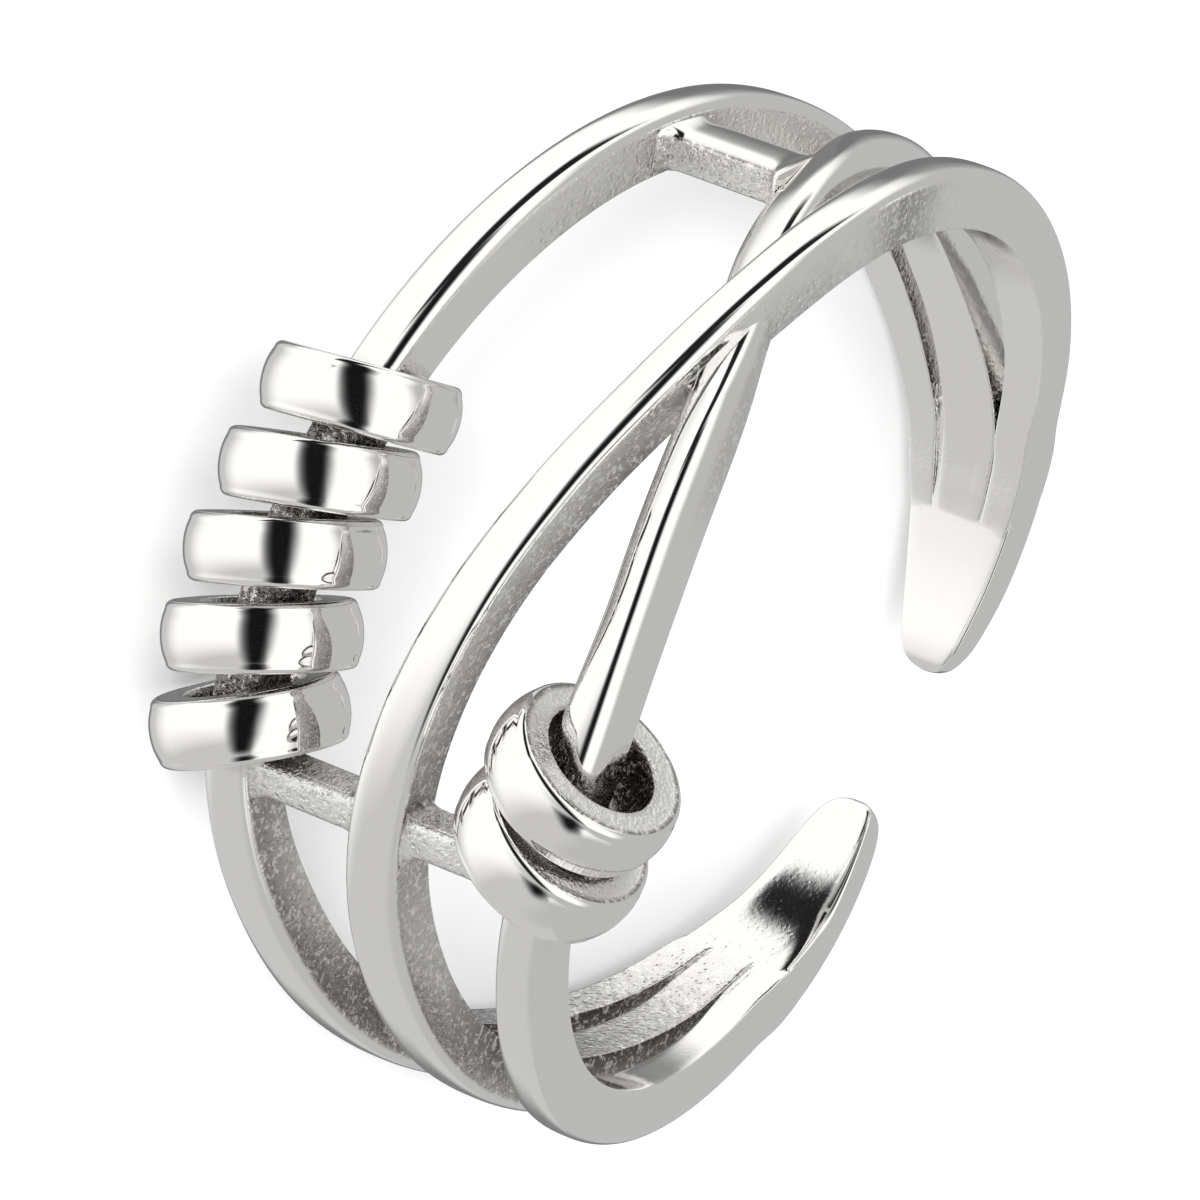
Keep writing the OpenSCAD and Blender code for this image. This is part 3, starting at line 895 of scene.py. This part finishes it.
# %% Shader groups: cast grain and worn polish
wires, given, made = new_tree("cast_grain", "ShaderNodeTree", [
    ("Vector", "INPUT", VECTOR, None),
    ("Scale", "INPUT", FLOAT, 9000.0),
    ("Height", "OUTPUT", FLOAT, None),
    ("Pits", "OUTPUT", FLOAT, None),
    ("Stain", "OUTPUT", FLOAT, None),
])
where, scale = given.outputs["Vector"], given.outputs["Scale"]
fine = wires.add("ShaderNodeTexNoise", {
    "Vector": where, "Scale": scale, "Detail": 3.0, "Roughness": 0.6})
broad = wires.add("ShaderNodeTexNoise", {
    "Vector": where, "Scale": wires.math("MULTIPLY", scale, 0.42), "Detail": 4.0,
    "Roughness": 0.65})
cells = wires.add("ShaderNodeTexVoronoi", {
    "Vector": where, "Scale": wires.math("MULTIPLY", scale, 0.7), "Randomness": 1.0})
deep = wires.ramp(cells.outputs["Distance"], 0.50, 0.18)
patches = wires.ramp(broad.outputs[0], 0.44, 0.56)
pits = wires.math("MULTIPLY", deep, patches)
grain = wires.math("MULTIPLY_ADD", fine.outputs[0], 0.7, wires.math(
    "MULTIPLY", broad.outputs[0], 1.3))
wires.feed(made.inputs["Height"], wires.math("MULTIPLY_ADD", pits, -0.5, grain))
wires.feed(made.inputs["Pits"], pits)
mixed = wires.math("ADD", wires.math("MULTIPLY", fine.outputs[0], 0.5),
                   wires.math("MULTIPLY", broad.outputs[0], 0.5))
wires.feed(made.inputs["Stain"], wires.ramp(mixed, 0.42, 0.49))
CAST_GRAIN = wires.tree

wires, given, made = new_tree("worn_polish", "ShaderNodeTree", [
    ("Vector", "INPUT", VECTOR, None),
    ("Wave Scale", "INPUT", FLOAT, 450.0),
    ("Waves", "OUTPUT", FLOAT, None),
    ("Haze", "OUTPUT", FLOAT, None),
])
where = given.outputs["Vector"]
waves = wires.add("ShaderNodeTexNoise", {
    "Vector": where, "Scale": given.outputs["Wave Scale"], "Detail": 1.0,
    "Roughness": 0.4})
haze = wires.add("ShaderNodeTexNoise", {
    "Vector": where, "Scale": wires.math("MULTIPLY", given.outputs["Wave Scale"], 3.0),
    "Detail": 4.0, "Roughness": 0.65})
wires.feed(made.inputs["Waves"], waves.outputs[0])
wires.feed(made.inputs["Haze"], wires.ramp(haze.outputs[0], 0.35, 0.75))
WORN_POLISH = wires.tree
print("groups", CAST_GRAIN.name, WORN_POLISH.name)

# %% [markdown]
# ## The metal itself
# Silver-coloured plated alloy is a metal with an almost white tint, so nearly all of
# its look is what it mirrors. The polished faces are close to a mirror. Where the
# casting was left rough, the roughness rises, a fine bump scatters the light, and
# brown-black residue sits in the pits and creases. The same brown-black also paints
# shade under the beads and dark reflections on the top crossbar and the beads' rims.

# %% Materials
SILVER = (0.93, 0.92, 0.905)
# Brown-black residue, also used as the colour of painted shade and painted dark reflections
RESIDUE_AND_PAINTED_SHADE = (0.06, 0.042, 0.032)
FIRST_COLOUR, SECOND_COLOUR = 6, 7


def metal(name, polish, waves, grain, pit_scale, residue_and_rim_shade_from_cast):
    """A mirror finish that turns grainy with cast, and brown-black with soot, with painted
    shade and with painted dark reflections.
    """
    material = bpy.data.materials.new(name)
    material.use_nodes = True
    material.node_tree.nodes.clear()
    wires = Wires(material.node_tree)
    shader = wires.add("ShaderNodeBsdfPrincipled", {"Metallic": 1.0})
    wires.add("ShaderNodeOutputMaterial", {"Surface": shader.outputs[0]})
    where = wires.add("ShaderNodeTexCoord").outputs["Object"]
    cast = wires.add("ShaderNodeAttribute", attribute_name="cast").outputs["Fac"]
    soot_and_shade = wires.add("ShaderNodeAttribute", attribute_name="soot_and_shade").outputs["Fac"]
    # On the beads the cast number also darkens: residue in the hole and mouth, and a painted dark
    # reflection on the rims' edges
    soot_and_shade = wires.math("MULTIPLY_ADD", wires.ramp(cast, 0.35, 1.0), residue_and_rim_shade_from_cast, soot_and_shade)
    rough = wires.add(
        "ShaderNodeGroup", {"Vector": where, "Scale": pit_scale}, node_tree=CAST_GRAIN)
    worn = wires.add("ShaderNodeGroup", {"Vector": where}, node_tree=WORN_POLISH)

    stain = wires.math("MULTIPLY_ADD", rough.outputs["Stain"], 0.85, 0.12)
    dark = wires.math("MULTIPLY", soot_and_shade, wires.math("MAXIMUM", rough.outputs["Pits"], stain))
    colour = wires.add("ShaderNodeMix", {
        0: wires.math("MINIMUM", dark, 1.0), FIRST_COLOUR: (*SILVER, 1),
        SECOND_COLOUR: (*RESIDUE_AND_PAINTED_SHADE, 1)}, data_type="RGBA")
    wires.feed(shader.inputs["Base Color"], colour.outputs[2])

    roughness = wires.math("MULTIPLY_ADD", worn.outputs["Haze"], 0.03, polish)
    roughness = wires.math("MULTIPLY_ADD", cast, 0.1, roughness)
    pits = wires.math("MULTIPLY", rough.outputs["Pits"], cast)
    roughness = wires.math("MULTIPLY_ADD", pits, 0.2, roughness)
    wires.feed(shader.inputs["Roughness"], roughness)

    slow = wires.add("ShaderNodeBump", {
        "Strength": 1.0, "Distance": waves, "Height": worn.outputs["Waves"]})
    bump = wires.add("ShaderNodeBump", {
        "Strength": 1.0, "Distance": grain, "Normal": slow.outputs[0],
        "Height": wires.math("MULTIPLY", rough.outputs["Height"], cast)})
    wires.feed(shader.inputs["Normal"], bump.outputs[0])
    return material


band_metal = metal(
    "cast_band_metal", polish=0.05, waves=2e-6, grain=9.0e-5, pit_scale=11000, residue_and_rim_shade_from_cast=0.0)
bead_metal = metal(
    "bead_metal", polish=0.04, waves=1e-6, grain=4.0e-5, pit_scale=13000, residue_and_rim_shade_from_cast=1.0)
print("materials", band_metal.name, bead_metal.name)

# %% [markdown]
# ## Handing the pieces to the model
# Each finished piece takes the place of its solid, rides on the same body, and gets its
# finish. So it moves with the solid's joint.

# %% Replace the solids


def hand_over(name, mesh, node, body, material):
    mesh.materials.clear()
    mesh.materials.append(material)
    mesh.polygons.foreach_set("material_index", [0] * len(mesh.polygons))
    piece = show(name, mesh)
    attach(piece, body)
    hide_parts(node)


body_of_node = {
    node: body for body, nodes in frame["record"]["behaviour"]["bodies"].items()
    for node in nodes}
hand_over("cast_band", band_mesh, "band", body_of_node["band"], band_metal)
for name, mesh in bead_meshes.items():
    hand_over("turned_" + name, mesh, name, body_of_node[name], bead_metal)

# %% [markdown]
# ## Table, studio and light
# Polished metal shows only its surroundings, so the studio is half of the finish. The
# ring lies in a white tent: bright walls left and right of the lens and a bright roof.
# A dark card in front of the lens draws the black band down every bead, and a narrow
# card beside it draws the fine strip along the strands. Two dim cards far behind the
# ring give its rounded edges a thin dark outline. Without them the metal would look
# like white plastic. The tent is the world's background, given in angles from the
# lens, but fixed in the room. Only what the metal mirrors sees the cards, and the table
# stays out of the mirrors. One large soft lamp adds the faint shadow on the pale table.

# %% Pale floor
FLOOR_HALF = 1.5
corners = [(-1, -1), (1, -1), (1, 1), (-1, 1)]
floor_data = bpy.data.meshes.new("pale_floor")
floor_data.from_pydata(
    [(x * FLOOR_HALF, y * FLOOR_HALF, 0) for x, y in corners], [], [(0, 1, 2, 3)])
floor = show("pale_floor", floor_data)
paper = bpy.data.materials.new("pale_paper")
paper.use_nodes = True
sheet = paper.node_tree.nodes["Principled BSDF"]
sheet.inputs["Base Color"].default_value = (0.93, 0.93, 0.93, 1)
sheet.inputs["Roughness"].default_value = 0.9
floor_data.materials.append(paper)
floor.visible_glossy = False
floor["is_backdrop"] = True
print("floor", 2 * FLOOR_HALF, "m wide")

# %% The tent with its cards, as the world's background
DIM, LIT, LOW_GLOW = 0.52, 0.58, 0.08
BACK_SHADE, FAR_SHADE = 0.32, 0.48
CARD_DEPTH, CARD_CONTRAST = 0.92, 1.7
ROOM_LIGHT = 1.34

tent = bpy.data.worlds.new("white_tent")
tent.use_nodes = True
tent.node_tree.nodes.clear()
bpy.context.scene.world = tent
wires = Wires(tent.node_tree)
look = wires.add("ShaderNodeTexCoord").outputs["Generated"]
sideward = wires.vector("DOT_PRODUCT", look, tuple(turned(RIGHT)))
upward = wires.vector("DOT_PRODUCT", look, tuple(turned(UP)))
lensward = wires.vector("DOT_PRODUCT", look, tuple(turned(TOWARD)))
degrees = 180 / math.pi
# Left or right of the lens, above it, over the ring, aside from it, and behind it
across = wires.math("MULTIPLY", wires.math("ARCTAN2", sideward, lensward), degrees)
above = wires.math("MULTIPLY", wires.math("ARCSINE", upward), degrees)
over = wires.math("MULTIPLY", wires.math("ARCTAN2", upward, lensward), degrees)
aside = wires.math("MULTIPLY", wires.math("ARCSINE", sideward), degrees)
behind = wires.math("FLOORED_MODULO", across, 360.0)


def panel(*edges):
    """Bright or dark where every pair of edges lets it through: source, off, on."""
    shade = None
    for source, off, on in edges:
        part = wires.ramp(source, off, on)
        shade = part if shade is None else wires.math("MULTIPLY", shade, part)
    return shade


left_wall = panel((across, -150, -104), (across, -16, -30), (above, -42, 0))
low_left = panel((across, 10, -30), (above, -84, -60))
right_wall = panel((across, 3, 11), (across, 74, 54), (above, -62, -46))
roof = panel((above, 38, 56))
lit = wires.math("MAXIMUM", roof, wires.math("MAXIMUM", right_wall, left_wall))
bright = wires.math("MULTIPLY_ADD", low_left, LOW_GLOW, DIM)
bright = wires.math("MAXIMUM", bright, wires.math("MULTIPLY_ADD", lit, LIT, DIM))
leaning = wires.math("MULTIPLY_ADD", above, -0.15, across)
front_card = panel((across, -31, -10), (leaning, 23, 1), (above, 64, 54), (above, -60, -42))
tilted = wires.math("MULTIPLY_ADD", over, -0.6, wires.math("ADD", aside, 44.0))
strip = panel((tilted, -15, -9), (tilted, 15, 8), (over, 48, 56), (over, 106, 94))
back_card = panel((behind, 156, 172), (behind, 198, 186), (above, 2, 12), (above, 46, 38))
far_side = panel((behind, 166, 174), (behind, 210, 198), (above, -34, -16), (above, 56, 38))
distant = wires.math("MAXIMUM", wires.math("MULTIPLY", back_card, BACK_SHADE),
                     wires.math("MULTIPLY", far_side, FAR_SHADE))
dark = wires.math("MAXIMUM", front_card, wires.math("MAXIMUM", strip, distant))
left_over = wires.math("MULTIPLY_ADD", dark, -CARD_DEPTH, 1.0)
bright = wires.math("MULTIPLY", bright, wires.math("POWER", left_over, CARD_CONTRAST))
mirrored = wires.add("ShaderNodeLightPath").outputs["Is Glossy Ray"]
bright = wires.math("MULTIPLY_ADD", mirrored, bright, wires.math(
    "MULTIPLY", wires.math("SUBTRACT", 1.0, mirrored), ROOM_LIGHT))
sky = wires.add("ShaderNodeBackground", {"Color": (1, 0.997, 0.992, 1), "Strength": bright})
wires.add("ShaderNodeOutputWorld", {"Surface": sky.outputs[0]})
print("tent ready")

# %% One large soft lamp
LAMP_PLACE = Vector((-0.02, -0.37, 0.20))

lamp_data = bpy.data.lights.new("soft_box", "AREA")
lamp_data.shape = "DISK"
lamp_data.size = 0.16
lamp_data.energy = 1.1
lamp = bpy.data.objects.new("soft_box", lamp_data)
bpy.context.scene.collection.objects.link(lamp)
lamp.location = LAMP_PLACE
lamp.rotation_mode = "QUATERNION"
lamp.rotation_quaternion = (-LAMP_PLACE).to_track_quat("-Z", "Y")
lamp.visible_glossy = False
bpy.context.scene.view_settings.view_transform = "Standard"
bpy.context.scene.view_settings.look = "None"
print("lamp at", tuple(round(v, 2) for v in lamp.location))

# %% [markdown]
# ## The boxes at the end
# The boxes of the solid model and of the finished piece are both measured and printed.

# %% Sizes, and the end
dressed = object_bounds()
for label, box in (("solid", cad_box), ("dressed", dressed)):
    print(label, "box, mm", [round(1000 * v, 2) for v in (*box[0], *box[1])])
